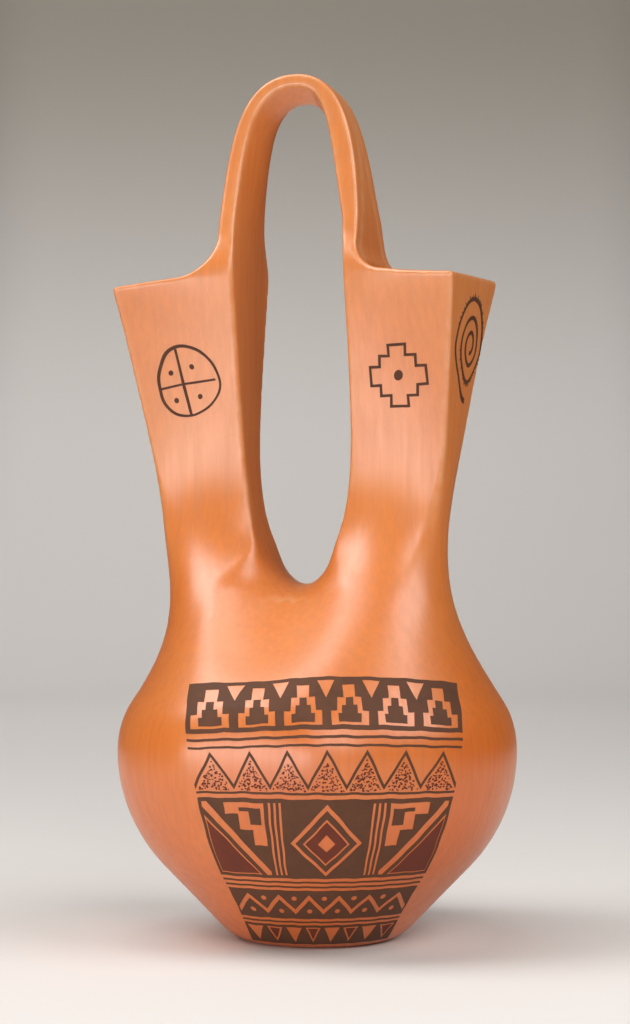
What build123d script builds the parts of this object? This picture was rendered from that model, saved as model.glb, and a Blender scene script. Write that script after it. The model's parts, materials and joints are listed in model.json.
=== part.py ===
"""Coil-built pueblo jar with two spouts joined by a strap handle, in millimetres.

The jar stands on the XY plane with the foot centred on the origin.  X runs from spout to spout,
-Y is the front and +Z is up.  Every coil is a separate solid, luted to its neighbours: bevelled
seams round the body, level ones round the neck, and lapped ones in the spouts.
"""

import os
from math import acos, asin, atan2, cos, hypot, radians, sin, sqrt, tan

from build123d import *

# Round body
body_diameter = 178.0
belly_height = 84.0
foot_diameter = 74.5
bowl_radius = 74.8
shoulder_radius = 41.0
wall = 6.0
base_thickness = 8.0
base_seam_height = 10.0
neck_seam_height = 108.0
body_coils = 5
body_seam_tilt = 30.0

# Neck, where the round body closes in to the two spouts
crotch_height = 157.0
saddle_height = 25.0
neck_span = 128.8
neck_corner_span = 115.0
neck_corner_depth = 34.0
neck_corner_bearing = 25.0
neck_middle_bearing = 57.5
saddle_depth = 34.0
saddle_thickness = 8.0

# Spouts
rim_height = 295.5
left_rim_drop = 6.5
right_rim_drop = 3.5
rim_span = 160.0
rim_outer_depth = 78.0
rim_inner_depth = 48.0
window_width = 51.6
spout_crown = 14.0
rim_crown = 1.2
outer_face_bow = 0.4
spout_coils = 5
spout_seam_lap = 5.0

# Strap handle
total_height = 384.5
strap_seam_height = 318.0
left_strap_thickness = 8.7
right_strap_thickness = 6.6
crown_thickness = 9.5
strap_gap = 49.6
strap_root_depth = 39.0
strap_crown_depth = 24.0
left_rim_sweep = 16.0
right_rim_sweep = 12.0

# Lean of a pot built by hand: the spouts and the handle stand left of the foot
spout_lean = -6.1
spout_lean_end = 185.0
crown_lean = -7.5
crown_lean_end = 320.0

# How each size of a spout's plan grows or fades between the crotch and the rim
span_power = 1.25
outer_depth_power = 1.5
inner_depth_power = 1.1
crown_fade = 4
saddle_fade = 5
corner_fade = 4
window_fade = 5
window_bow = 0.5
soft_corner_fade = 6
soft_corner_share = 0.3
bar_fade = 8

# Arches of the strap, as shares of its half width and rise: how far out and how high the leg's
# handle point lies, and how far out the crown's handle point lies
left_outer_arch = (0.95, 0.34, 0.96)
left_inner_arch = (0.96, 0.44, 0.9)
right_outer_arch = (0.88, 0.63, 0.69)
right_inner_arch = (0.62, 0.63, 0.68)

belly_radius = body_diameter / 2
foot_radius = foot_diameter / 2
bowl_centre = belly_radius - bowl_radius
shoulder_centre = belly_radius - shoulder_radius

os.makedirs("parts", exist_ok=True)


def write(part, name):
    """Label a finished piece and write its STEP file."""
    part.label = name
    export_step(part, f"parts/{name}.step")


def bowl_angle():
    """Slope of the straight wall above the foot, which runs tangent into the bowl arc."""
    run = foot_radius - bowl_centre
    reach = hypot(run, belly_height)
    return atan2(belly_height, run) - acos(bowl_radius / reach)


def shoulder_arc(inset):
    """Radius of the shoulder's arc from the belly to the neck seam, with both ends moved in by an inset."""
    rise = neck_seam_height - belly_height
    tilt = asin(rise / shoulder_radius)
    run = shoulder_radius * (1 - cos(tilt)) + inset / cos(tilt) - inset
    return (run**2 + rise**2) / (2 * run)


def body_radius(height, inset=0.0):
    """Radius of the round body's wall, moved in by an inset, at a height."""
    if height >= belly_height:
        arc = shoulder_arc(inset)
        return belly_radius - inset - arc + sqrt(arc**2 - (height - belly_height) ** 2)
    slope = bowl_angle()
    arc = bowl_radius - inset
    tangent_height = belly_height - arc * sin(slope)
    if height >= tangent_height:
        return bowl_centre + sqrt(arc**2 - (belly_height - height) ** 2)
    return bowl_centre + arc * cos(slope) - (tangent_height - height) * tan(slope)


def body_normal(height):
    """Angle of the outward normal of the body's outer wall above the horizontal."""
    if height >= belly_height:
        return atan2(height - belly_height, body_radius(height) - shoulder_centre)
    return max(atan2(height - belly_height, body_radius(height) - bowl_centre), -bowl_angle())


def body_outline(inset, floor):
    """Closed half section of the body, moved in by an inset and standing on a floor height."""
    slope = bowl_angle()
    arc = bowl_radius - inset
    tangent_point = (bowl_centre + arc * cos(slope), belly_height - arc * sin(slope))
    foot = (body_radius(floor, inset), floor)
    top = (body_radius(neck_seam_height, inset), neck_seam_height)
    belly = (belly_radius - inset, belly_height)
    with BuildSketch(Plane.XZ) as outline:
        with BuildLine():
            Polyline((0, neck_seam_height), (0, floor), foot, tangent_point)
            TangentArc(tangent_point, belly, tangent=(sin(slope), cos(slope)))
            TangentArc(belly, top, tangent=(0, 1))
            Line(top, (0, neck_seam_height))
        make_face()
    return outline.sketch


def body_seam(height):
    """Ends of a bevelled body seam, run past the wall on both sides: outer end, inner end."""
    angle = body_normal(height) + radians(body_seam_tilt)
    outer = Vector(body_radius(height), height)
    inward = Vector(-cos(angle), -sin(angle))
    return outer - inward * wall, outer + inward * 3 * wall


def level_seam(height):
    """Ends of a level body seam, run past the wall on both sides: outer end, inner end."""
    radius = body_radius(height)
    return Vector(radius + wall, height), Vector(radius - 3 * wall, height)


def base_seam():
    """Ends of the seam square to the wall round the base pad: outer end, inner end."""
    angle = body_normal(base_seam_height)
    outer = Vector(body_radius(base_seam_height), base_seam_height)
    inward = Vector(-cos(angle), -sin(angle))
    return outer - inward * wall, outer + inward * 2 * wall


def ease(start, slope, end, share):
    """Value that leaves start at a slope and reaches end at a share of one."""
    return start + slope * share + (end - start - slope) * share**2


def smooth(share):
    """Rise from nought to one with level ends."""
    share = min(max(share, 0.0), 1.0)
    return share * share * (3 - 2 * share)


def lean(height):
    """Sideways shift of the neck, spouts and handle at a height."""
    neck_rise = smooth((height - neck_seam_height) / (spout_lean_end - neck_seam_height))
    crown_rise = smooth((height - rim_height) / (crown_lean_end - rim_height))
    return spout_lean * neck_rise + (crown_lean - spout_lean) * crown_rise


def neck_section(share, inset):
    """Plan of the neck, from the round body at nought to the two joined spout roots at one."""
    height = neck_seam_height + share * (crotch_height - neck_seam_height)
    radius = body_radius(neck_seam_height)
    fall = -tan(body_normal(neck_seam_height)) * (crotch_height - neck_seam_height)
    corner_angle = radians(neck_corner_bearing)
    middle_angle = radians(neck_middle_bearing)
    across = ease(radius, fall, neck_span / 2, share)
    centre = ease(radius, fall, saddle_depth / 2, share)
    corner_x = ease(radius * cos(corner_angle), fall * cos(corner_angle), neck_corner_span / 2, share)
    corner_y = ease(radius * sin(corner_angle), fall * sin(corner_angle), neck_corner_depth / 2, share)
    crown_y = (saddle_depth + neck_corner_depth) / 4 + spout_crown
    middle_x = ease(radius * cos(middle_angle), fall * cos(middle_angle), neck_corner_span / 4, share)
    middle_y = ease(radius * sin(middle_angle), fall * sin(middle_angle), crown_y, share)
    corner_turn = corner_angle + share * (radians(45) - corner_angle)
    middle_turn = middle_angle + share * (radians(90) - middle_angle)
    across -= inset
    centre -= inset
    corner_x -= inset * cos(corner_turn)
    corner_y -= inset * sin(corner_turn)
    middle_x -= inset * cos(middle_turn)
    middle_y -= inset * sin(middle_turn)
    shift = lean(height)
    with BuildSketch(Plane.XY.offset(height)) as section:
        with BuildLine():
            for side in (1, -1):
                front = (shift, -centre)
                back = (shift, centre)
                front_corner = (shift + side * corner_x, -corner_y)
                back_corner = (shift + side * corner_x, corner_y)
                ThreePointArc(front, (shift + side * middle_x, -middle_y), front_corner)
                ThreePointArc(front_corner, (shift + side * across, 0), back_corner)
                ThreePointArc(back_corner, (shift + side * middle_x, middle_y), back)
        make_face()
    return section.sketch


def spout_section(side, height, inset, window_inset):
    """Plan of one spout: a flat inner face, crowned front and back, and a widening outer face."""
    share = (height - crotch_height) / (rim_height - crotch_height)
    rest = max(1 - share, 0.0)
    across = neck_span / 2 + (rim_span - neck_span) / 2 * share**span_power
    outer_depth = rim_outer_depth / 2 * share**outer_depth_power + neck_corner_depth / 2 * rest**corner_fade
    inner_depth = rim_inner_depth / 2 * share**inner_depth_power + saddle_depth / 2 * rest**saddle_fade
    inner_x = window_width / 2 * (1 - rest**window_fade) ** window_bow
    corner_x = across - (neck_span - neck_corner_span) / 2 * rest**corner_fade
    if height > rim_height:
        rise = (height - rim_height) / (strap_seam_height - rim_height)
        inner_depth = (rim_inner_depth + rise * (strap_root_depth - rim_inner_depth)) / 2
        inner_x = (window_width + rise * (strap_gap - window_width)) / 2
    crown = rim_crown + (spout_crown - rim_crown) * rest**crown_fade
    middle_depth = (inner_depth + outer_depth) / 2 + crown
    middle_x = (inner_x + corner_x) / 2
    corner_inset = inset * (1 - soft_corner_share * rest**soft_corner_fade)
    shift = lean(height)
    near = shift + side * (inner_x + window_inset)
    middle = shift + side * middle_x
    far = shift + side * (corner_x - corner_inset)
    end = shift + side * (across + outer_face_bow * share - inset)
    with BuildSketch(Plane.XY.offset(height)) as section:
        with BuildLine():
            Line((near, inner_depth - inset), (near, inset - inner_depth))
            ThreePointArc(
                (near, inset - inner_depth),
                (middle, inset - middle_depth),
                (far, corner_inset - outer_depth),
            )
            ThreePointArc((far, corner_inset - outer_depth), (end, 0), (far, outer_depth - corner_inset))
            ThreePointArc(
                (far, outer_depth - corner_inset),
                (middle, middle_depth - inset),
                (near, inner_depth - inset),
            )
        make_face()
    return section.sketch


def spout_stations():
    """Heights of the plans that a spout is drawn through."""
    rise = rim_height - crotch_height
    shares = [0.0, 0.08, 0.2, 0.4, 0.6, 0.8, 1.0]
    return [crotch_height + share * rise for share in shares] + [strap_seam_height]


def window_inset(height, strap_thickness):
    """Thickness of the wall beside the window, from the saddle up to one leg of the strap."""
    share = (height - crotch_height) / (rim_height - crotch_height)
    rest = max(1 - share, 0.0)
    rise = max(height - rim_height, 0.0) / (strap_seam_height - rim_height)
    return wall + (saddle_thickness - wall) * rest**bar_fade + (strap_thickness - wall) * rise


# Round body: a base pad and the coils above it
with BuildSketch(Plane.XZ) as body_wall:
    add(body_outline(0, 0))
    add(body_outline(wall, base_thickness), mode=Mode.SUBTRACT)

seam_spacing = (neck_seam_height - base_seam_height) / body_coils
body_seams = [base_seam()]
for number in range(1, body_coils):
    body_seams.append(body_seam(base_seam_height + number * seam_spacing))
body_seams.append(level_seam(neck_seam_height))

with BuildPart() as base_pad:
    with BuildSketch(Plane.XZ):
        add(body_wall.sketch)
        with BuildLine():
            Polyline((0, 0), (foot_radius, 0), *body_seams[0], (0, base_thickness), close=True)
        make_face(mode=Mode.INTERSECT)
    revolve(axis=Axis.Z)
write(base_pad.part, "base_pad")

for number in range(body_coils):
    below = body_seams[number]
    above = body_seams[number + 1]
    with BuildPart() as body_coil:
        with BuildSketch(Plane.XZ):
            add(body_wall.sketch)
            with BuildLine():
                Polyline(below[0], above[0], above[1], below[1], close=True)
            make_face(mode=Mode.INTERSECT)
        revolve(axis=Axis.Z)
    write(body_coil.part, f"body_coil_{number + 1}")

# Neck: the wall from the round body to the saddle between the spouts
neck_shares = [0.0, 1 / 3, 2 / 3, 1.0]
neck_outer = [neck_section(share, 0) for share in neck_shares]
level_wall = body_radius(neck_seam_height) - body_radius(neck_seam_height, wall)
neck_inner = [neck_section(share, level_wall + share * (wall - level_wall)) for share in neck_shares]

with BuildPart() as saddle_bar:
    loft(sections=neck_outer)
    with BuildSketch(Plane.XY.offset(crotch_height)):
        with Locations((lean(crotch_height), 0)):
            Rectangle(2 * saddle_thickness, body_diameter)
    extrude(amount=-saddle_thickness, mode=Mode.INTERSECT)

with BuildPart() as neck:
    loft(sections=neck_outer)
    loft(sections=neck_inner, mode=Mode.SUBTRACT)
    add(saddle_bar.part)

saddle_seam = Plane.XY.offset(crotch_height - saddle_height)
with BuildPart() as neck_coil:
    add(neck.part)
    split(bisect_by=saddle_seam, keep=Keep.BOTTOM)
write(neck_coil.part, "neck_coil")

with BuildPart() as saddle:
    add(neck.part)
    split(bisect_by=saddle_seam, keep=Keep.TOP)
write(saddle.part, "saddle")

# Spouts: one hollow loft each, trimmed along the rim and parted into coils
coil_rise = (rim_height - crotch_height) / spout_coils
for side, name, rim_drop, rim_sweep, strap_thickness in (
    (-1, "left", left_rim_drop, left_rim_sweep, left_strap_thickness),
    (1, "right", right_rim_drop, right_rim_sweep, right_strap_thickness),
):
    outside_plans = [spout_section(side, height, 0, 0) for height in spout_stations()]
    inside_plans = [
        spout_section(side, height, wall, window_inset(height, strap_thickness))
        for height in spout_stations()
    ]
    with BuildPart() as spout:
        loft(sections=outside_plans)
        loft(sections=inside_plans, mode=Mode.SUBTRACT)
        root = lean(strap_seam_height) + side * (strap_gap / 2 + strap_thickness)
        outside = lean(rim_height) + side * (rim_span / 2 + wall)
        above = strap_seam_height + wall
        with BuildSketch(Plane.XZ):
            with BuildLine():
                FilletPolyline(
                    (outside, rim_height - rim_drop),
                    (root, rim_height),
                    (root, above),
                    radius=rim_sweep,
                )
                Polyline((root, above), (outside, above), (outside, rim_height - rim_drop))
            make_face()
        extrude(amount=body_diameter, both=True, mode=Mode.SUBTRACT)

    upper_zones = []
    for number in range(1, spout_coils):
        seam = crotch_height + number * coil_rise
        tongue = [seam - spout_seam_lap, seam + spout_seam_lap]
        with BuildPart() as upper_zone:
            loft(
                sections=[spout_section(side, height, wall / 2, wall / 2) for height in tongue],
                ruled=True,
            )
            with BuildSketch(Plane.XY.offset(seam)):
                Rectangle(2 * body_diameter, body_diameter)
            extrude(amount=total_height)
        upper_zones.append(upper_zone.part)

    for number in range(spout_coils):
        with BuildPart() as spout_coil:
            add(spout.part)
            if number > 0:
                add(upper_zones[number - 1], mode=Mode.INTERSECT)
            if number < spout_coils - 1:
                add(upper_zones[number], mode=Mode.SUBTRACT)
        label = f"{name}_rim_coil" if number == spout_coils - 1 else f"{name}_spout_coil_{number + 1}"
        write(spout_coil.part, label)

# Handle: a bowed strap from rim to rim, narrower at its crown
strap_rise = total_height - strap_seam_height
root_shift = lean(strap_seam_height)


def strap_arch(side, half_width, top, arch):
    """Curve of one edge of the strap, from its seam up to the crown."""
    leg_out, leg_up, crown_out = arch
    return Bezier(
        (root_shift + side * half_width, strap_seam_height),
        (root_shift + side * leg_out * half_width, strap_seam_height + leg_up * strap_rise),
        (crown_lean + side * crown_out * half_width, top),
        (crown_lean, top),
    )


with BuildPart() as handle_strap:
    inner_half = strap_gap / 2
    inner_top = total_height - crown_thickness
    with BuildSketch(Plane.XZ):
        with BuildLine():
            for side, strap_thickness, outer_arch, inner_arch in (
                (-1, left_strap_thickness, left_outer_arch, left_inner_arch),
                (1, right_strap_thickness, right_outer_arch, right_inner_arch),
            ):
                outer_half = inner_half + strap_thickness
                strap_arch(side, outer_half, total_height, outer_arch)
                Line(
                    (root_shift + side * outer_half, strap_seam_height),
                    (root_shift + side * inner_half, strap_seam_height),
                )
                strap_arch(side, inner_half, inner_top, inner_arch)
        make_face()
    extrude(amount=strap_root_depth, both=True)
    with BuildSketch(Plane.YZ):
        with BuildLine():
            for side in (1, -1):
                Bezier(
                    (side * strap_root_depth / 2, strap_seam_height),
                    (side * 0.8 * strap_root_depth / 2, strap_seam_height + 0.4 * strap_rise),
                    (side * strap_crown_depth / 2, strap_seam_height + 0.6 * strap_rise),
                    (side * strap_crown_depth / 2, total_height),
                )
            Line((-strap_root_depth / 2, strap_seam_height), (strap_root_depth / 2, strap_seam_height))
            Line((-strap_crown_depth / 2, total_height), (strap_crown_depth / 2, total_height))
        make_face()
    extrude(amount=body_diameter, both=True, mode=Mode.INTERSECT)
write(handle_strap.part, "handle_strap")
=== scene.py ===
"""Dress the coil-built jar: burnished clay, painted figures and a plain studio stage.

Run as a script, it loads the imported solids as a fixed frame, shapes one smooth clay piece for each
coil, presses the painted figures onto the clay and sets up the stage.  Lengths are in metres.  X runs
from spout to spout, -Y is the front and +Z is up.
"""

import json
import math

import bpy
import numpy as np
from bpy.props import FloatProperty, FloatVectorProperty, IntProperty, PointerProperty
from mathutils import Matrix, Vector
from mathutils.geometry import delaunay_2d_cdt

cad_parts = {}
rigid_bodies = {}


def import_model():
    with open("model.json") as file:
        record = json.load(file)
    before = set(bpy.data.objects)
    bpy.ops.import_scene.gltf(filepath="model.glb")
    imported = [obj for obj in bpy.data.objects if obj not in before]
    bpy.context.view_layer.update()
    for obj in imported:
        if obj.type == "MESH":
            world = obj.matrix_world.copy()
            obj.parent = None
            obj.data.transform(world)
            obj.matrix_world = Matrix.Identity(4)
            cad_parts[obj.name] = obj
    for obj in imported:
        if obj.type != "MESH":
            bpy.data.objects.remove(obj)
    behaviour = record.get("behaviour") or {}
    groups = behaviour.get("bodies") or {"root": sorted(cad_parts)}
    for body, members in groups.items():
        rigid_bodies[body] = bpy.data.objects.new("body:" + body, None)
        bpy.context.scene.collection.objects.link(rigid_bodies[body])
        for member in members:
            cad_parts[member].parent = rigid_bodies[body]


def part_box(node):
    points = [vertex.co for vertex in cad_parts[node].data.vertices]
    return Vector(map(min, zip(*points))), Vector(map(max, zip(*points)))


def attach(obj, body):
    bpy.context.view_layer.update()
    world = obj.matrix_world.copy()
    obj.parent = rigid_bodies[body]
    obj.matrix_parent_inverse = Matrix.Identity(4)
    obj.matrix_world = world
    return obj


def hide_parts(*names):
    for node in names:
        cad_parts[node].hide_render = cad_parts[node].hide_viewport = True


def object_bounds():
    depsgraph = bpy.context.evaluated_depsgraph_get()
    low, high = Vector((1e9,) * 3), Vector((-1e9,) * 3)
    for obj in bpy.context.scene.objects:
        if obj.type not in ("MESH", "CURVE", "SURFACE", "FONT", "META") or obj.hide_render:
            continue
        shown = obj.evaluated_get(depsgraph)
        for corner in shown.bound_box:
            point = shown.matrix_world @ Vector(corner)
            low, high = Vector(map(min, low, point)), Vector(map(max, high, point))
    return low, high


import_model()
cad_low, cad_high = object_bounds()

bl_info = {
    "name": "Double-spouted Jar",
    "version": (1, 0, 0),
    "blender": (4, 5, 0),
    "location": "View3D > Sidebar > Jar",
    "description": "Shapes and paints a coil-built jar with two spouts and a strap handle",
    "category": "Add Mesh",
}

belly_low, belly_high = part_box("body_coil_4")
saddle_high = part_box("saddle")[1]
strap_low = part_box("handle_strap")[0]
neck_low, neck_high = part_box("neck_coil")


def length(name, description, default):
    """Property for a length in metres."""
    return FloatProperty(name=name, description=description, default=default, unit="LENGTH", precision=4)


def angle(name, description, degrees):
    """Property for an angle."""
    return FloatProperty(name=name, description=description, default=math.radians(degrees), subtype="ANGLE")


def shares(name, description, default):
    """Property for three shares."""
    return FloatVectorProperty(name=name, description=description, default=default, size=3)


def colour(name, description, default):
    """Property for a linear colour."""
    return FloatVectorProperty(
        name=name, description=description, default=default, size=3, min=0, max=1, subtype="COLOR"
    )


class JarSizes(bpy.types.PropertyGroup):
    """Sizes of the clay form."""

    body_diameter: length("Body diameter", "Width of the belly", belly_high.x - belly_low.x)
    belly_height: length("Belly height", "Height of the widest ring", 0.084)
    foot_diameter: length("Foot diameter", "Width of the flat the jar stands on", 0.0745)
    bowl_radius: length("Bowl radius", "Radius of the wall below the belly", 0.0748)
    shoulder_radius: length("Shoulder radius", "Radius of the wall above the belly", 0.041)
    wall: length("Wall", "Thickness of the clay", 0.006)
    base_thickness: length("Base thickness", "Thickness of the clay under the hollow", 0.008)
    base_seam: length("Base seam", "Height of the seam round the base pad", 0.010)
    neck_seam: length("Neck seam", "Height where the neck leaves the round body", neck_low.z)
    saddle_seam: length("Saddle seam", "Height of the seam under the saddle", neck_high.z)
    crotch_height: length("Crotch height", "Lowest point of the window", saddle_high.z)
    neck_span: length("Neck span", "Width across both spouts at the crotch", 0.1288)
    neck_corner_span: length("Neck corner span", "Width between the corners at the crotch", 0.115)
    neck_corner_depth: length("Neck corner depth", "Depth of the outer faces at the crotch", 0.040)
    saddle_depth: length("Saddle depth", "Depth of the bar under the window", 0.040)
    saddle_thickness: length("Saddle thickness", "Clay under the window", 0.008)
    rim_height: length("Rim height", "Height of the rims beside the strap", 0.2955)
    left_rim_drop: length("Left rim drop", "Fall of the left rim to its outer edge", 0.0065)
    right_rim_drop: length("Right rim drop", "Fall of the right rim to its outer edge", 0.0035)
    rim_span: length("Rim span", "Width across both rims", 0.160)
    rim_outer_depth: length("Rim outer depth", "Depth of a mouth at its outer face", 0.078)
    rim_inner_depth: length("Rim inner depth", "Depth of a mouth beside the strap", 0.048)
    window_width: length("Window width", "Gap between the spouts", 0.0516)
    spout_crown: length("Spout crown", "Bow of the front faces at the crotch", 0.0095)
    rim_crown: length("Rim crown", "Bow of the front faces at the rim", 0.0012)
    outer_face_bow: length("Outer face bow", "Bow of the outer faces at the rim", 0.0004)
    strap_seam: length("Strap seam", "Height where the strap handle starts", strap_low.z)
    total_height: length("Total height", "Height of the handle's crown", cad_high.z)
    left_strap: length("Left strap", "Thickness of the strap's left leg along its edges", 0.0076)
    right_strap: length("Right strap", "Thickness of the strap's right leg along its edges", 0.0074)
    crown_strap: length("Crown strap", "Thickness of the strap's crown along its edges", 0.0057)
    strap_swell: length("Strap swell", "Swell of the strap's inner side towards the back", 0.009)
    strap_slope: length("Strap slope", "Fall of the strap's outer side towards the back", 0.0012)
    strap_gap: length("Strap gap", "Gap between the strap's legs", 0.0508)
    strap_root_depth: length("Strap root depth", "Depth of the strap at its roots", 0.047)
    strap_crown_depth: length("Strap crown depth", "Depth of the strap at its crown", 0.024)
    strap_narrow: length("Strap narrow", "Height where the strap has narrowed to its crown", 0.335)
    left_outer_arch: shares("Left outer arch", "Lead points of the left outer edge", (0.95, 0.34, 0.96))
    left_inner_arch: shares("Left inner arch", "Lead points of the left inner edge", (0.96, 0.44, 0.90))
    right_outer_arch: shares("Right outer arch", "Lead points of the right outer edge", (0.88, 0.63, 0.69))
    right_inner_arch: shares("Right inner arch", "Lead points of the right inner edge", (0.62, 0.63, 0.68))
    left_sweep: length("Left sweep", "Radius from the left rim up into the strap", 0.016)
    right_tilt: FloatProperty(
        name="Right tilt", description="Rise of the right rim towards the back", default=0.05
    )
    right_sweep: length("Right sweep", "Radius from the right rim up into the strap", 0.012)
    spout_lean: length("Spout lean", "Sideways lean of the spouts", -0.0061)
    spout_lean_end: length("Spout lean end", "Height where the spouts' lean is reached", 0.185)
    crown_lean: length("Crown lean", "Sideways lean of the crown", -0.0075)
    crown_lean_end: length("Crown lean end", "Height where the crown's lean is reached", 0.320)
    ridge_blend: length("Ridge blend", "Softness of the spouts' corner ridges", 0.0015)
    lip_blend: length("Lip blend", "Softness of the rims", 0.0021)
    saddle_roll: length("Saddle roll", "Softness of the edges under the window", 0.012)
    saddle_flare: length("Saddle flare", "How far the window opens out to the front and back", 0.009)
    neck_fold: length("Neck fold", "Half width of the smooth fold under the window", 0.024)
    scuff_height: length("Scuff height", "Height of the scuffs under the window", 0.1505)
    hand_wave: length("Hand wave", "Unevenness left by hand polishing", 0.00018)
    cell: length("Cell", "Size of the faces of the clay skin", 0.0013)
    spout_coils: IntProperty(name="Spout coils", description="Coils in each spout", default=5)
    body_coils: IntProperty(name="Body coils", description="Coils in the body", default=5)


class JarPaint(bpy.types.PropertyGroup):
    """Sizes of the painted figures."""

    panel_bearing: angle("Panel bearing", "Turn of the belly panel from the front", 22.0)
    panel_half_width: angle("Panel half width", "Half of the panel's turn round the body", 48.5)
    panel_rise: angle("Panel rise", "Rise of the panel's top edge in its middle", 3.6)
    panel_centre: length("Panel centre", "Height of the point that the panel is drawn around", 0.078)
    proud: length("Proud", "How far the paint stands off the clay", 0.00015)
    sunk: length("Sunk", "How far the paint reaches into the clay", 0.0002)
    line: length("Line", "Width of a brush line", 0.0012)
    figure_height: length("Figure height", "Height of the figures on the spouts", 0.2477)
    left_figure: length("Left figure", "Place of the left figure across the front", -0.0548)
    right_figure: length("Right figure", "Place of the right figure across the front", 0.044)
    spiral_height: length("Spiral height", "Height of the spirals on the outer faces", 0.262)
    spiral_depth: length("Spiral depth", "Place of the spirals along the outer faces", 0.005)
    spiral_radius: length("Spiral radius", "Radius of the spirals", 0.020)
    stipple_density: FloatProperty(
        name="Stipple density", description="Dabs in a square metre", default=900000.0
    )
    dab_radius: length("Dab radius", "Radius of a stippled dab", 0.00042)
    seed: IntProperty(name="Seed", description="Seed of the stipple", default=7)


class JarFinish(bpy.types.PropertyGroup):
    """Colours of the clay and the paints."""

    # The upper clay is made paler partly to paint in the sheen on the spouts; the deeper blush low down is
    # the clay's own
    clay: colour("Clay", "Burnished clay", (0.65, 0.208, 0.050))
    clay_deep: colour("Clay blush", "Deeper firing blush", (0.56, 0.108, 0.004))
    clay_worn: colour("Worn clay", "Paler slip on ridges", (0.70, 0.33, 0.15))
    dark_paint: colour("Dark paint", "Dark brown paint", (0.090, 0.036, 0.018))
    dark_thin: colour("Thin dark paint", "Dark paint where the brush ran dry", (0.135, 0.056, 0.029))
    brush_line: colour("Brush line", "Brown of the brush figures", (0.072, 0.026, 0.013))
    red_paint: colour("Red paint", "Brick-red paint", (0.120, 0.026, 0.014))
    red_thin: colour("Thin red paint", "Red paint where the brush ran dry", (0.165, 0.042, 0.022))
    paper: colour("Paper", "Pale paper under the jar", (0.765, 0.74, 0.72))
    # Painted shade: the paper darkens high up, where less light reaches it
    paper_high_shade: colour("High paper", "Paper high up behind the jar", (0.36, 0.33, 0.285))
    # Painted shade: the paper far out on both sides is dark, standing for the unlit room
    paper_side_shade: colour("Side paper", "Dim paper far out on both sides", (0.16, 0.152, 0.14))


class JarStage(bpy.types.PropertyGroup):
    """Camera and the pale strip of paper."""

    azimuth: angle("Azimuth", "Turn of the camera to the right of the front", 19.4)
    distance: length("Distance", "From the camera to the jar's axis", 1.030)
    height: length("Height", "Height of the camera", 0.1676)
    pitch: angle("Pitch", "Upward tilt of the camera", 1.195)
    yaw: angle("Yaw", "Sideways turn of the camera", 0.062)
    lens: FloatProperty(name="Lens", description="Focal length", default=80.9, unit="CAMERA")
    # Outside the pale strip the paper carries painted shade
    paper_turn: angle("Paper turn", "Turn of the pale strip of paper", 19.4)
    paper_half: length("Paper half width", "Half width of the pale strip of paper", 0.60)


def smooth(share):
    """Rise from nought to one with level ends."""
    share = np.clip(share, 0.0, 1.0)
    return share * share * (3 - 2 * share)


def ramp(value, start, run):
    """Smooth rise from nought to one over a run that begins at a start."""
    return smooth((value - start) / run)


def bell(value, width):
    """One at nought, falling away on both sides."""
    return np.exp(-((value / width) ** 2))


def ease(start, slope, end, share):
    """Value that leaves start at a slope and reaches end at a share of one."""
    return start + slope * share + (end - start - slope) * share**2


def soft_cut(first, second, blend):
    """Distance to what two shapes share, with the edge between them rounded."""
    near = np.maximum(blend - np.abs(first - second), 0.0) / blend
    return np.maximum(first, second) + near * near * blend / 4


def bezier(points, count):
    """Points along a cubic curve."""
    t = np.linspace(0, 1, count)[:, None]
    a, b, c, d = (np.array(p, float) for p in points)
    return a * (1 - t) ** 3 + 3 * b * t * (1 - t) ** 2 + 3 * c * t**2 * (1 - t) + d * t**3


# Changes of the form along its height: where each one starts, and the run that it takes
NECK_SOFTENS = (0.098, 0.02)
FOLD_STARTS = (0.100, 0.03)
CORNER_SOFTENS = (0.112, 0.05)
CORNER_SHARPENS = (0.170, 0.05)
NECK_THICKENS = (0.110, 0.02)
NECK_THINS = (0.160, 0.03)
RIDGE_WEARS = (0.150, 0.06)
EDGE_WEARS = (0.165, 0.04)
# The same, counted from the crotch
FOLD_ENDS = (-0.004, 0.02)
FLARE_ENDS = (-0.002, 0.024)
ROLL_ENDS = (-0.004, 0.024)
BAR_THINS = (0.0, 0.03)
# The same, counted from the rims
STRAP_STARTS = (-0.004, 0.022)
SWELL_STARTS = (-0.01, 0.07)
SLOPE_STARTS = (0.008, 0.03)
ROOT_THICKENS = (-0.006, 0.02)
# Changes across the jar
SWELL_FADES = (-0.005, 0.02)
TILT_STARTS = (0.025, 0.03)

# Steps and margins of the plan laws and of the maps of the front outlines
LAW_STEP = 0.0005
LAW_MARGIN = 0.008
LAW_REACH = 40
LAW_SPREAD = 0.007
MAP_STEP = 0.001
MAP_HALF = 0.112
MAP_BELOW = 0.05
MAP_ABOVE = 0.02


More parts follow.
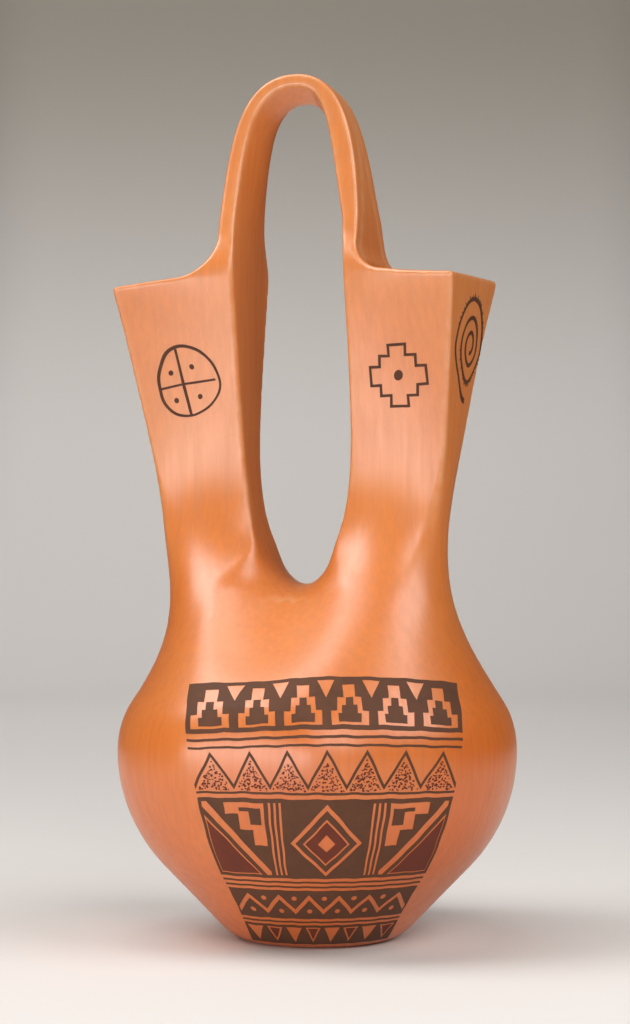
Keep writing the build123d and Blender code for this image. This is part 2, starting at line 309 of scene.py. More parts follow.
class ClayForm:
    """Distance to the clay of the whole jar, positive in the open."""

    def __init__(self, sizes):
        self.sizes = sizes
        self.heights = np.arange(-LAW_MARGIN, sizes.total_height + LAW_MARGIN, LAW_STEP)
        self.set_laws()
        self.set_outlines()

    def lean(self, height):
        """Sideways shift of the neck, spouts and handle."""
        s = self.sizes
        neck_rise = smooth((height - s.neck_seam) / (s.spout_lean_end - s.neck_seam))
        crown_rise = smooth((height - s.rim_height) / (s.crown_lean_end - s.rim_height))
        return s.spout_lean * neck_rise + (s.crown_lean - s.spout_lean) * crown_rise

    def body_radius(self, height):
        """Radius of the round body: a straight wall, the bowl arc and the shoulder arc."""
        s = self.sizes
        bowl_centre = s.body_diameter / 2 - s.bowl_radius
        run = s.foot_diameter / 2 - bowl_centre
        reach = math.hypot(run, s.belly_height)
        slope = math.atan2(s.belly_height, run) - math.acos(s.bowl_radius / reach)
        drop = s.belly_height - height
        tangent = s.bowl_radius * math.sin(slope)
        bowl = bowl_centre + np.sqrt(np.maximum(s.bowl_radius**2 - drop**2, 0))
        straight = bowl_centre + s.bowl_radius * math.cos(slope) - (drop - tangent) * math.tan(slope)
        shoulder_centre = s.body_diameter / 2 - s.shoulder_radius
        shoulder = shoulder_centre + np.sqrt(np.maximum(s.shoulder_radius**2 - drop**2, 0))
        return np.where(drop < 0, shoulder, np.where(drop > tangent, straight, bowl))

    def window_half(self, height):
        """Half of the gap between the spouts."""
        s = self.sizes
        rest = 1 - np.clip((height - s.crotch_height) / (s.rim_height - s.crotch_height), 0, 1)
        rise = np.clip((height - s.rim_height) / (s.strap_seam - s.rim_height), 0, 1)
        below = s.window_width / 2 * (1 - rest**5) ** 0.5
        return below + rise * (s.strap_gap - s.window_width) / 2

    def set_laws(self):
        """Level plan at every height, as a circle for the front face and one for the outer face."""
        s = self.sizes
        h = self.heights
        radius = self.body_radius(np.minimum(h, s.neck_seam))
        seam_radius = float(self.body_radius(np.array(s.neck_seam)))
        shoulder_centre = s.body_diameter / 2 - s.shoulder_radius
        tilt = math.atan2(s.neck_seam - s.belly_height, seam_radius - shoulder_centre)
        neck_rise = s.crotch_height - s.neck_seam
        fall = -math.tan(tilt) * neck_rise
        share = np.clip((h - s.neck_seam) / neck_rise, 0, 1)
        t = np.clip((h - s.crotch_height) / (s.rim_height - s.crotch_height), 0, 1)
        rest = 1 - t
        above = h > s.crotch_height
        corner_turn = math.radians(25.0)
        middle_turn = math.radians(57.5)

        def law(turn, size, spout):
            body = radius * turn
            neck = ease(seam_radius * turn, fall * turn, size, share)
            return np.where(above, spout, np.where(h > s.neck_seam, neck, body))

        across = s.neck_span / 2 + (s.rim_span - s.neck_span) / 2 * t**1.25
        outer_depth = s.rim_outer_depth / 2 * t**1.5 + s.neck_corner_depth / 2 * rest**4
        inner_depth = s.rim_inner_depth / 2 * t**1.1 + s.saddle_depth / 2 * rest**5
        corner = across - (s.neck_span - s.neck_corner_span) / 2 * rest**4
        crown = s.rim_crown + (s.spout_crown - s.rim_crown) * rest**4
        inner = self.window_half(h)
        crown_depth = (s.saddle_depth + s.neck_corner_depth) / 4 + s.spout_crown
        points = {
            "near_x": law(0.0, 0.0, inner),
            "near_y": law(1.0, s.saddle_depth / 2, inner_depth),
            "middle_x": law(math.cos(middle_turn), s.neck_corner_span / 4, (inner + corner) / 2),
            "middle_y": law(math.sin(middle_turn), crown_depth, (inner_depth + outer_depth) / 2 + crown),
            "corner_x": law(math.cos(corner_turn), s.neck_corner_span / 2, corner),
            "corner_y": law(math.sin(corner_turn), s.neck_corner_depth / 2, outer_depth),
            "end_x": law(1.0, s.neck_span / 2, across + s.outer_face_bow * t),
        }
        # Soften the joints between the laws, from the shoulder up
        reach = np.arange(-LAW_REACH, LAW_REACH + 1)
        weights = np.exp(-((reach * LAW_STEP / LAW_SPREAD) ** 2) / 2)
        weights /= weights.sum()
        keep = ramp(h, *NECK_SOFTENS)
        for name, values in points.items():
            padded = np.pad(values, LAW_REACH, mode="edge")
            soft = np.convolve(padded, weights, mode="valid")
            points[name] = values + keep * (soft - values)
        # Circle through the near, middle and corner points of the front face
        p = points
        x1, y1, x2, y2 = p["near_x"], p["near_y"], p["middle_x"], p["middle_y"]
        x3, y3 = p["corner_x"], p["corner_y"]
        turn = 2 * (x1 * (y2 - y3) + x2 * (y3 - y1) + x3 * (y1 - y2))
        q1, q2, q3 = x1**2 + y1**2, x2**2 + y2**2, x3**2 + y3**2
        front_x = (q1 * (y2 - y3) + q2 * (y3 - y1) + q3 * (y1 - y2)) / turn
        front_y = (q1 * (x3 - x2) + q2 * (x1 - x3) + q3 * (x2 - x1)) / turn
        # Half depth of the strap along its height
        strap = bezier(
            [
                (s.strap_root_depth / 2, s.rim_height - 0.0055),
                (0.455 * s.strap_root_depth, s.strap_seam),
                (s.strap_crown_depth / 2, s.strap_narrow),
                (s.strap_crown_depth / 2, s.total_height),
            ],
            60,
        )
        fold_end = 1 - ramp(h - s.crotch_height, *FOLD_ENDS)
        self.laws = {
            "lean": self.lean(h),
            "front_x": front_x,
            "front_y": front_y,
            "front_r": np.hypot(x1 - front_x, y1 - front_y),
            "end_x": p["end_x"],
            "bow": (p["end_x"] - x3) / y3**2,
            "strap_depth": np.interp(h, strap[:, 1], strap[:, 0]),
            "fold": s.neck_fold * ramp(h, *FOLD_STARTS) * fold_end,
        }

    def set_outlines(self):
        """Front outlines of the window and of the rims and handle, as maps of level distance."""
        s = self.sizes
        rise = s.total_height - s.strap_seam
        shift = float(self.lean(np.array(s.strap_seam)))
        inner = s.strap_gap / 2
        inner_top = s.total_height - s.crown_strap
        # Levels of the window's sides, close together near the crotch
        share = np.linspace(0, 1, 140) ** 2.2
        sides = s.crotch_height + share * (s.strap_seam - s.crotch_height)
        # The outline over the rims runs out beyond the jar and closes high above it
        beyond = 0.14
        lid_height = 0.6
        halves = []
        tops = []
        for side, drop, bend_radius, thick, outer_arch, inner_arch in (
            (1, s.right_rim_drop, s.right_sweep, s.right_strap, s.right_outer_arch, s.right_inner_arch),
            (-1, s.left_rim_drop, s.left_sweep, s.left_strap, s.left_outer_arch, s.left_inner_arch),
        ):
            outer = inner + thick
            middle = self.lean(sides)
            middle = np.where(sides < s.rim_height, 0.4 * middle + 0.6 * s.spout_lean, middle)
            leg = np.column_stack([middle + side * self.window_half(sides), sides])
            arch = bezier(
                [
                    (shift + side * inner, s.strap_seam),
                    (shift + side * inner_arch[0] * inner, s.strap_seam + inner_arch[1] * rise),
                    (s.crown_lean + side * inner_arch[2] * inner, inner_top),
                    (s.crown_lean, inner_top),
                ],
                70,
            )
            halves.append(np.vstack([leg, arch[1:]]))
            root = shift + side * outer
            level = s.rim_height
            sweep = np.linspace(0, math.pi / 2, 24)
            run = s.rim_span / 2 - outer
            fall = drop / run
            bend = np.column_stack(
                [
                    root + side * bend_radius * (1 - np.sin(sweep)),
                    level - fall * bend_radius * (1 - np.sin(sweep)) + bend_radius * (1 - np.cos(sweep)),
                ]
            )
            far = [root + side * beyond, level - fall * beyond]
            crown = bezier(
                [
                    (root, s.strap_seam),
                    (shift + side * outer_arch[0] * outer, s.strap_seam + outer_arch[1] * rise),
                    (s.crown_lean + side * outer_arch[2] * outer, s.total_height),
                    (s.crown_lean, s.total_height),
                ],
                80,
            )
            tops.append(np.vstack([[far], bend, crown[1:]]))
        window = np.vstack([halves[0], halves[1][-2:0:-1]])
        right, left = tops
        lid = [[left[0, 0], lid_height], [right[0, 0], lid_height]]
        above = np.vstack([right, left[-2::-1], lid])
        self.map_x = np.arange(-MAP_HALF, MAP_HALF + MAP_STEP / 10, MAP_STEP)
        self.map_z = np.arange(s.crotch_height - MAP_BELOW, s.total_height + MAP_ABOVE, MAP_STEP)
        self.window_map = outline_map(window, self.map_x, self.map_z)
        self.above_map = outline_map(above, self.map_x, self.map_z)

    def read_map(self, values, x, z):
        """Distance read from a map between its points."""
        u = np.clip((x - self.map_x[0]) / MAP_STEP, 0, len(self.map_x) - 1.001)
        v = np.clip((z - self.map_z[0]) / MAP_STEP, 0, len(self.map_z) - 1.001)
        i = u.astype(int)
        j = v.astype(int)
        u = u - i
        v = v - j
        low = values[i, j] * (1 - u) + values[i + 1, j] * u
        high = values[i, j + 1] * (1 - u) + values[i + 1, j + 1] * u
        return low * (1 - v) + high * v

    def parts(self, x, y, z):
        """Distances to the front, outer, window and rim surfaces."""
        s = self.sizes
        now = {name: np.interp(z, self.heights, values) for name, values in self.laws.items()}
        across = np.abs(x - now["lean"])
        fold = np.maximum(now["fold"], 1e-6)
        inward = np.where(across < fold, (across**2 / fold + fold) / 2, across)
        front = np.hypot(inward - now["front_x"], np.abs(y) - now["front_y"]) - now["front_r"]
        outer = (across - now["end_x"] + now["bow"] * y**2) / np.sqrt(1 + (2 * now["bow"] * y) ** 2)
        strap = np.abs(y) - now["strap_depth"]
        share = ramp(z - s.rim_height, *STRAP_STARTS)
        front = front + share * (strap - front)
        both = np.broadcast_arrays(x, z)
        window = self.read_map(self.window_map, *both)
        back = np.clip(0.5 + y / now["strap_depth"] / 2, 0, 1)
        swell = s.strap_swell * ramp(z - s.rim_height, *SWELL_STARTS)
        swell = swell * (1 - 0.7 * ramp(x, *SWELL_FADES))
        window = window - swell * (back - back**6)
        flare_depth = 0.028
        reach = np.abs(y) / flare_depth
        open_out = np.where(reach < 1, reach**2, 2 * reach - 1)
        open_out = open_out * (1 - ramp(z - s.crotch_height, *FLARE_ENDS))
        window = window + s.saddle_flare * open_out
        tilted = z - s.right_tilt * y * ramp(x, *TILT_STARTS)
        above = self.read_map(self.above_map, *np.broadcast_arrays(x, tilted))
        above = above + s.strap_slope * back**2 * ramp(z - s.rim_height, *SLOPE_STARTS)
        return front, outer, window, above

    def clay(self, x, y, z):
        """Distance to the clay."""
        s = self.sizes
        front, outer, window, above = self.parts(x, y, z)
        crotch = s.crotch_height
        body_blend, neck_extra = 0.0006, 0.002
        foot_blend, hollow_blend, base_blend = 0.007, 0.005, 0.012
        neck_share, root_extra = 0.7, 0.008
        corner = body_blend + (s.ridge_blend + neck_extra - body_blend) * ramp(z, *CORNER_SOFTENS)
        corner = corner - neck_extra * ramp(z, *CORNER_SHARPENS)
        edge = s.ridge_blend + s.saddle_roll * (1 - ramp(z - crotch, *ROLL_ENDS))
        wave = np.sin(52 * x + 31 * z + 1.3) * np.sin(47 * y - 23 * z) + np.sin(74 * z + 19 * x - 27 * y)
        shell = soft_cut(front, outer, corner) + s.hand_wave * wave
        solid = soft_cut(shell, window, edge)
        solid = soft_cut(solid, above, s.lip_blend)
        solid = soft_cut(solid, -z, foot_blend)
        thick = s.wall * (1 + neck_share * ramp(z, *NECK_THICKENS) * (1 - ramp(z, *NECK_THINS)))
        bar = s.wall + (s.saddle_thickness - s.wall) * (1 - ramp(z - crotch, *BAR_THINS))
        bar = bar + root_extra * ramp(z - s.rim_height, *ROOT_THICKENS)
        hollow = soft_cut(shell + thick, window + bar, hollow_blend)
        hollow = soft_cut(hollow, s.base_thickness - z, base_blend)
        return soft_cut(solid, -hollow, s.lip_blend)

    def normals(self, points):
        """Outward normals at points on the clay."""
        step = 0.0004
        p = np.asarray(points, float)
        slopes = []
        for axis in range(3):
            move = np.zeros(3)
            move[axis] = step
            slopes.append(self.clay(*(p + move).T) - self.clay(*(p - move).T))
        slopes = np.column_stack(slopes) / (2 * step)
        return slopes / np.maximum(np.linalg.norm(slopes, axis=1, keepdims=True), 1e-9)

    def wear(self, points):
        """How much each point lies on a ridge or lip, from nought to one."""
        x, y, z = np.asarray(points, float).T
        front, outer, window, above = self.parts(x, y, z)
        shell = np.maximum(front, outer)
        ridge_width, lip_width, skin = 0.0022, 0.0016, 0.002
        scuff_half, scuff_width = 0.010, 0.0011
        ridge = bell(front - outer, ridge_width) * ramp(z, *RIDGE_WEARS)
        edge = bell(shell - window, ridge_width) * ramp(z, *EDGE_WEARS)
        lip = bell(np.maximum(shell, window) - above, lip_width)
        outside = np.exp(-np.maximum(-np.maximum(np.maximum(shell, window), above), 0) / skin)
        worn = np.maximum(np.maximum(ridge, edge), lip)
        low = z - self.sizes.scuff_height - 0.0008 * np.sin(900 * x)
        scuff = bell(x - self.lean(z), scuff_half) * bell(low, scuff_width)
        return np.clip(np.maximum(worn, scuff) * outside, 0, 1)


def outline_map(outline, xs, zs):
    """Map of distance to a closed outline, positive inside it."""
    x, z = np.meshgrid(xs, zs, indexing="ij")
    nearest = np.full(x.shape, 1e9)
    inside = np.zeros(x.shape, bool)
    for (x1, z1), (x2, z2) in zip(outline, np.roll(outline, -1, axis=0)):
        dx, dz = x2 - x1, z2 - z1
        reach = dx * dx + dz * dz
        if reach == 0:
            continue
        t = np.clip(((x - x1) * dx + (z - z1) * dz) / reach, 0, 1)
        nearest = np.minimum(nearest, (x - x1 - t * dx) ** 2 + (z - z1 - t * dz) ** 2)
        if z1 != z2:
            crosses = (z1 > z) != (z2 > z)
            inside ^= crosses & (x < x1 + (z - z1) * dx / dz)
    return np.where(inside, 1.0, -1.0) * np.sqrt(nearest)


def seam_heights(s):
    """Heights of the seams from the base pad up to the strap."""
    climb = s.neck_seam - s.base_seam
    body = [s.base_seam + n * climb / s.body_coils for n in range(s.body_coils + 1)]
    rise = (s.rim_height - s.crotch_height) / s.spout_coils
    spouts = [s.crotch_height + n * rise for n in range(1, s.spout_coils)]
    return body + [s.saddle_seam, s.crotch_height + 0.004] + spouts + [s.strap_seam]


def clay_skin(form):
    """Net of the clay surface: points, faces, and the number of the seam band of every face."""
    s = form.sizes
    cell = s.cell
    half = s.body_diameter / 2 + 3 * cell
    low = np.array([-half, -half, -3 * cell])
    count = np.ceil((np.array([half, half, s.total_height + 3 * cell]) - low) / cell).astype(int) + 1
    axes = [low[a] + cell * np.arange(count[a]) for a in range(3)]
    field = form.clay(axes[0][:, None, None], axes[1][None, :, None], axes[2][None, None, :])
    inside = field < 0
    offsets = [(i, j, k) for i in (0, 1) for j in (0, 1) for k in (0, 1)]
    hits = np.zeros(count - 1, np.int8)
    for i, j, k in offsets:
        hits += inside[i : count[0] - 1 + i, j : count[1] - 1 + j, k : count[2] - 1 + k]
    # One point in every cell that the surface passes through
    cells = np.argwhere((hits > 0) & (hits < 8))
    number = np.full(count - 1, -1, np.int64)
    number[tuple(cells.T)] = np.arange(len(cells))
    corners = {o: field[tuple((cells + o).T)] for o in offsets}
    total = np.zeros((len(cells), 3))
    crossings = np.zeros((len(cells), 1))
    for start in offsets:
        for axis in range(3):
            if start[axis]:
                continue
            end = tuple(1 if a == axis else start[a] for a in range(3))
            first, second = corners[start], corners[end]
            cut = (first < 0) != (second < 0)
            share = np.where(cut, first / np.where(cut, first - second, 1), 0)
            place = np.array(start) + share[:, None] * (np.array(end) - np.array(start))
            total += np.where(cut[:, None], place, 0)
            crossings += cut[:, None]
    points = low + cell * (cells + total / crossings)

    # Level rings of points at the seams
    seams = np.array(seam_heights(s))
    layers = np.floor((seams - low[2]) / cell).astype(int)
    on_seam = np.zeros(len(cells), bool)
    for height, layer in zip(seams, layers):
        here = cells[:, 2] == layer
        points[here, 2] = height
        on_seam |= here
    # Draw the points onto the surface, along their level only where they lie on a seam
    rounds, least_size, least_slope, furthest = 4, 0.05, 0.3, 0.6 * cell
    for _ in range(rounds):
        normal = form.normals(points)
        normal[on_seam, 2] = 0
        size = np.maximum((normal**2).sum(1), least_size)
        slope = slope_along(form, points, normal)
        step = form.clay(*points.T) / np.maximum(slope, least_slope)
        step = np.clip(step, -furthest, furthest)
        points = points - normal * (step / np.sqrt(size))[:, None]

    # One face across every edge of the grid that the surface cuts
    faces = []
    bands = []
    for axis in range(3):
        a, b = [n for n in range(3) if n != axis]
        here = [slice(1, -1)] * 3
        here[axis] = slice(0, -1)
        there = list(here)
        there[axis] = slice(1, None)
        full = inside[tuple(here)]
        edges = np.argwhere(full != inside[tuple(there)])
        filled = full[tuple(edges.T)]
        base = edges.copy()
        base[:, a] += 1
        base[:, b] += 1
        ring = []
        for da, db in ((-1, -1), (0, -1), (0, 0), (-1, 0)):
            move = base.copy()
            move[:, a] += da
            move[:, b] += db
            ring.append(number[tuple(move.T)])
        quad = np.column_stack(ring)
        turn = filled if axis != 1 else ~filled
        quad = np.where(turn[:, None], quad, quad[:, ::-1])
        faces.append(quad)
        if axis == 2:
            band = (layers[None, :] < base[:, 2:3]).sum(1)
        else:
            band = (layers[None, :] <= base[:, 2:3] - 1).sum(1)
        bands.append(band)
    return points, np.vstack(faces), np.concatenate(bands)


def slope_along(form, points, direction):
    """Rate of change of the distance along a direction."""
    step = 0.0003
    unit = direction / np.maximum(np.linalg.norm(direction, axis=1, keepdims=True), 1e-9)
    ahead = form.clay(*(points + step * unit).T)
    behind = form.clay(*(points - step * unit).T)
    return (ahead - behind) / (2 * step)


def seam_caps(points, faces):
    """Triangles that close a piece along its level seams."""
    edges = np.vstack([faces[:, [n, (n + 1) % 4]] for n in range(4)])
    keys = np.sort(edges, axis=1)
    single, counts = np.unique(keys, axis=0, return_counts=True)
    border = single[counts == 1]
    caps = []
    middle = points[np.unique(faces)][:, 2].mean()
    for height in np.unique(np.round(points[border[:, 0], 2], 6)):
        rows = border[np.abs(points[border[:, 0], 2] - height) < 1e-5]
        used, local = np.unique(rows, return_inverse=True)
        flat = [Vector(points[v, :2]) for v in used]
        lines = [tuple(int(v) for v in row) for row in local.reshape(-1, 2)]
        got = delaunay_2d_cdt(flat, lines, [], 0, 1e-9)
        back = [int(used[origin[0]]) for origin in got[3]]
        triangles = np.array(got[2], int).reshape(-1, 3)
        places = np.array([tuple(v) for v in got[0]])
        kept = triangles[odd_inside(places[triangles].mean(1), places, lines_of(got, lines))]
        for a, b, c in kept:
            tri = (back[a], back[b], back[c])
            caps.append(tri if height > middle else tri[::-1])
    return caps


def lines_of(got, lines):
    """Border lines of a filled outline, numbered as the fill returned its points."""
    place = {}
    for number, origins in enumerate(got[3]):
        for origin in origins:
            place[origin] = number
    return [(place[a], place[b]) for a, b in lines]


def odd_inside(spots, places, lines):
    """Which spots lie inside an odd number of outlines."""
    inside = np.zeros(len(spots), bool)
    x, y = spots[:, 0], spots[:, 1]
    for a, b in lines:
        (x1, y1), (x2, y2) = places[a], places[b]
        if y1 == y2:
            continue
        crosses = (y1 > y) != (y2 > y)
        inside ^= crosses & (x < x1 + (y - y1) * (x2 - x1) / (y2 - y1))
    return inside


def new_piece(name, mesh, material):
    """Link a finished mesh as a piece at the origin."""
    mesh.materials.clear()
    mesh.materials.append(material)
    piece = bpy.data.objects.new(name, mesh)
    bpy.context.scene.collection.objects.link(piece)
    return piece


def band_names(s):
    """Node of each seam band, as a pair for the left and the right side."""
    names = ["base_pad"] + [f"body_coil_{n + 1}" for n in range(s.body_coils)] + ["neck_coil", "saddle"]
    pairs = [(name, name) for name in names]
    for n in range(1, s.spout_coils):
        pairs.append((f"left_spout_coil_{n}", f"right_spout_coil_{n}"))
    pairs.append(("left_rim_coil", "right_rim_coil"))
    return pairs + [("handle_strap", "handle_strap")]


class Nodes:
    """Short way to add and link the nodes of a tree."""

    def __init__(self, tree):
        self.tree = tree

    def add(self, kind, inputs=(), **settings):
        """Add a node, set its properties, and fill its inputs with values or links."""
        node = self.tree.nodes.new(kind)
        for name, value in settings.items():
            setattr(node, name, value)
        for key, value in dict(inputs).items():
            if isinstance(value, bpy.types.NodeSocket):
                self.tree.links.new(value, node.inputs[key])
            else:
                node.inputs[key].default_value = value
        return node

    def span(self, value, low, high, start=0.0, end=1.0, **settings):
        """Map a value from one range to another."""
        inputs = {"Value": value, "From Min": low, "From Max": high, "To Min": start, "To Max": end}
        return self.add("ShaderNodeMapRange", inputs, **settings).outputs["Result"]

    def blend(self, share, first, second, **settings):
        """Mix two colours."""
        inputs = {"Factor": share, "A": first, "B": second}
        return self.add("ShaderNodeMix", inputs, data_type="RGBA", **settings).outputs["Result"]

    def noise(self, place, scale, detail, roughness=0.5):
        """Noise around one half."""
        inputs = {"Vector": place, "Scale": scale, "Detail": detail, "Roughness": roughness}
        return self.add("ShaderNodeTexNoise", inputs).outputs["Fac"]

    def math(self, operation, first, second=0.0, **settings):
        """What an operation makes of one or two values."""
        node = self.add("ShaderNodeMath", {0: first, 1: second}, operation=operation, **settings)
        return node.outputs["Value"]

    def vector(self, operation, first, second):
        """What an operation makes of a vector and another vector or a value."""
        key = "Scale" if operation == "SCALE" else 1
        node = self.add("ShaderNodeVectorMath", {0: first, key: second}, operation=operation)
        return node.outputs["Vector"]

    def film(self, mesh, thick, merge):
        """Closed film of a thickness on a mesh."""
        lift = {"Mesh": mesh, "Offset Scale": thick, "Individual": False}
        raised = self.add("GeometryNodeExtrudeMesh", lift)
        back = self.add("GeometryNodeFlipFaces", {"Mesh": mesh})
        join = self.add("GeometryNodeJoinGeometry")
        for side in (raised, back):
            self.tree.links.new(side.outputs["Mesh"], join.inputs["Geometry"])
        both = {"Geometry": join.outputs["Geometry"], "Distance": merge}
        return self.add("GeometryNodeMergeByDistance", both).outputs["Geometry"]

    def hand_out(self, name, geometry, material):
        """Lead a painted mesh to the tree's output."""
        real = self.add("GeometryNodeRealizeInstances", {"Geometry": geometry}).outputs["Geometry"]
        painted = self.add("GeometryNodeSetMaterial", {"Geometry": real, "Material": material})
        self.add("NodeGroupOutput", {name: painted.outputs["Geometry"]})


def new_material(name):
    """Empty node material with a shader, and its helper."""
    material = bpy.data.materials.new(name)
    material.use_nodes = True
    nodes = Nodes(material.node_tree)
    shader = material.node_tree.nodes["Principled BSDF"]
    return material, nodes, shader


def burnished_clay(finish):
    """Stone-polished clay: firing blush low down, paler clay high up that is partly painted sheen,
    polishing streaks, specks, and paler slip on the ridges.
    """
    material, nodes, shader = new_material("burnished_clay")
    link = material.node_tree.links.new
    place = nodes.add("ShaderNodeTexCoord").outputs["Object"]
    high = nodes.add("ShaderNodeSeparateXYZ", {"Vector": place}).outputs["Z"]
    # Deeper firing blush low on the body; the paler clay high up is partly painted sheen on the spouts
    climb = nodes.span(high, 0.06, 0.20, 0.75, 0.0)
    drift = nodes.span(nodes.noise(place, 11.0, 3.0), 0.35, 0.65, -0.2, 0.25)
    blush = nodes.math("ADD", climb, drift, use_clamp=True)
    blush_and_painted_sheen = nodes.blend(blush, (*finish.clay, 1), (*finish.clay_deep, 1))
    grain = nodes.add("ShaderNodeMapping", {"Vector": place, "Scale": (1.0, 1.0, 0.05)})
    streak = nodes.noise(grain.outputs["Vector"], 380.0, 4.0, 0.62)
    tone = nodes.span(streak, 0.3, 0.7, 0.91, 1.06)
    streaked = nodes.blend(1.0, blush_and_painted_sheen, tone, blend_type="MULTIPLY")
    worn = nodes.add("ShaderNodeAttribute", attribute_name="wear").outputs["Fac"]
    patch = nodes.span(nodes.noise(place, 150.0, 3.0), 0.3, 0.7, 0.15, 0.75)
    rubbed = nodes.math("MULTIPLY", worn, patch)
    ridged = nodes.blend(rubbed, streaked, (*finish.clay_worn, 1))
    dots = nodes.span(nodes.noise(place, 700.0, 1.0), 0.70, 0.76, 0.0, 0.3)
    specked = nodes.blend(dots, ridged, (*finish.clay_deep, 1))
    link(specked, shader.inputs["Base Color"])
    link(nodes.span(streak, 0.3, 0.7, 0.36, 0.28), shader.inputs["Roughness"])
    shader.inputs["Specular IOR Level"].default_value = 0.95
    bump = nodes.add("ShaderNodeBump", {"Height": streak, "Strength": 0.12, "Distance": 0.0002})
    link(bump.outputs["Normal"], shader.inputs["Normal"])
    return material


def brushed_paint(name, tint, thin):
    """Matte mineral paint, a little thinner where the brush ran dry."""
    material, nodes, shader = new_material(name)
    link = material.node_tree.links.new
    place = nodes.add("ShaderNodeTexCoord").outputs["Object"]
    cover = nodes.noise(place, 130.0, 4.0, 0.65)
    share = nodes.span(cover, 0.38, 0.72, 0.0, 0.5)
    link(nodes.blend(share, (*tint, 1), (*thin, 1)), shader.inputs["Base Color"])
    link(nodes.span(cover, 0.3, 0.7, 0.5, 0.66), shader.inputs["Roughness"])
    shader.inputs["Specular IOR Level"].default_value = 0.2
    return material


def box(left, right, low, high):
    """Loop of a rectangle."""
    return [(left, low), (right, low), (right, high), (left, high)]


def diamond(x, y, half_width, half_height):
    """Loop of a diamond."""
    return [(x + half_width, y), (x, y + half_height), (x - half_width, y), (x, y - half_height)]


def terrace(x, foot, width, height, steps):
    """Loop of a stepped pyramid standing on a foot line; a negative height hangs it."""
    right = []
    for n in range(steps):
        reach = width / 2 * (1 - n / steps)
        right += [(x + reach, foot + height * n / steps), (x + reach, foot + height * (n + 1) / steps)]
    return right + [(2 * x - a, b) for a, b in reversed(right)]


def zigzag(left, right, middle, swing, width, turns):
    """Loop of a zigzag band."""
    xs = np.linspace(left, right, 2 * turns + 1)
    line = [(x, middle + swing * (1 if n % 2 else -1)) for n, x in enumerate(xs)]
    return [(x, y - width / 2) for x, y in line] + [(x, y + width / 2) for x, y in reversed(line)]


def oval(x, y, half_width, half_height, count=28):
    """Loop of an oval."""
    turns = np.linspace(0, 2 * math.pi, count, endpoint=False)
    return [(x + half_width * math.cos(a), y + half_height * math.sin(a)) for a in turns]


def stroke(line, widths):
    """Loop of a brush stroke along a line."""
    line = np.array(line, float)
    way = np.gradient(line, axis=0)
    way /= np.linalg.norm(way, axis=1, keepdims=True)
    side = np.column_stack([-way[:, 1], way[:, 0]]) * (np.asarray(widths) / 2)[:, None]
    return [tuple(p) for p in line + side] + [tuple(p) for p in (line - side)[::-1]]


def finer(loop, spacing):
    """Loop with points no further apart than a spacing."""
    points = []
    for a, b in zip(loop, loop[1:] + loop[:1]):
        count = max(1, math.ceil(math.dist(a, b) / spacing))
        for n in range(count):
            points.append((a[0] + (b[0] - a[0]) * n / count, a[1] + (b[1] - a[1]) * n / count))
    return points


def flat_sheet(name, loops, spacing):
    """Flat mesh of what lies inside an odd number of loops."""
    points = []
    lines = []
    for loop in loops:
        loop = finer(loop, spacing)
        start = len(points)
        points += loop
        lines += [(start + n, start + (n + 1) % len(loop)) for n in range(len(loop))]
    outline = np.array(points)
    low, high = outline.min(0), outline.max(0)
    xs = np.arange(low[0] + spacing / 2, high[0], spacing)
    ys = np.arange(low[1] + spacing / 2, high[1], spacing)
    grid = [(x, y) for x in xs for y in ys]
    got = delaunay_2d_cdt([Vector(p) for p in points + grid], lines, [], 0, 1e-7)
    places = np.array([tuple(v) for v in got[0]])
    triangles = np.array(got[2])
    spots = places[triangles].mean(1)
    inside = odd_inside(spots, outline, lines)
    edges = places[triangles]
    area = np.cross(edges[:, 1] - edges[:, 0], edges[:, 2] - edges[:, 0])
    kept = triangles[inside & (area > spacing**2 * 1e-6)]
    used, local = np.unique(kept, return_inverse=True)
    mesh = bpy.data.meshes.new(name)
    flat = np.column_stack([places[used], np.zeros(len(used))])
    mesh.from_pydata(flat.tolist(), [], local.reshape(-1, 3).tolist())
    return mesh


def new_tree(name, inputs, output):
    """Empty tree with named inputs and one geometry output, and its node maker."""
    tree = bpy.data.node_groups.new(name, "GeometryNodeTree")
    for socket, kind in inputs:
        tree.interface.new_socket(socket, in_out="INPUT", socket_type="NodeSocket" + kind)
    tree.interface.new_socket(output, in_out="OUTPUT", socket_type="NodeSocketGeometry")
    return tree, Nodes(tree)


# Half width of the belly panel at its centre, how it changes with the climb, and the radius under it
PANEL_HALF = 0.0546
PANEL_GROWTH = 0.0126
PANEL_BEND = -0.00919
PANEL_RADIUS = 0.087
# How far off the clay a figure is held before it is pressed on, and how far it is pressed
RAY_START = 0.2
RAY_LENGTH = 0.19


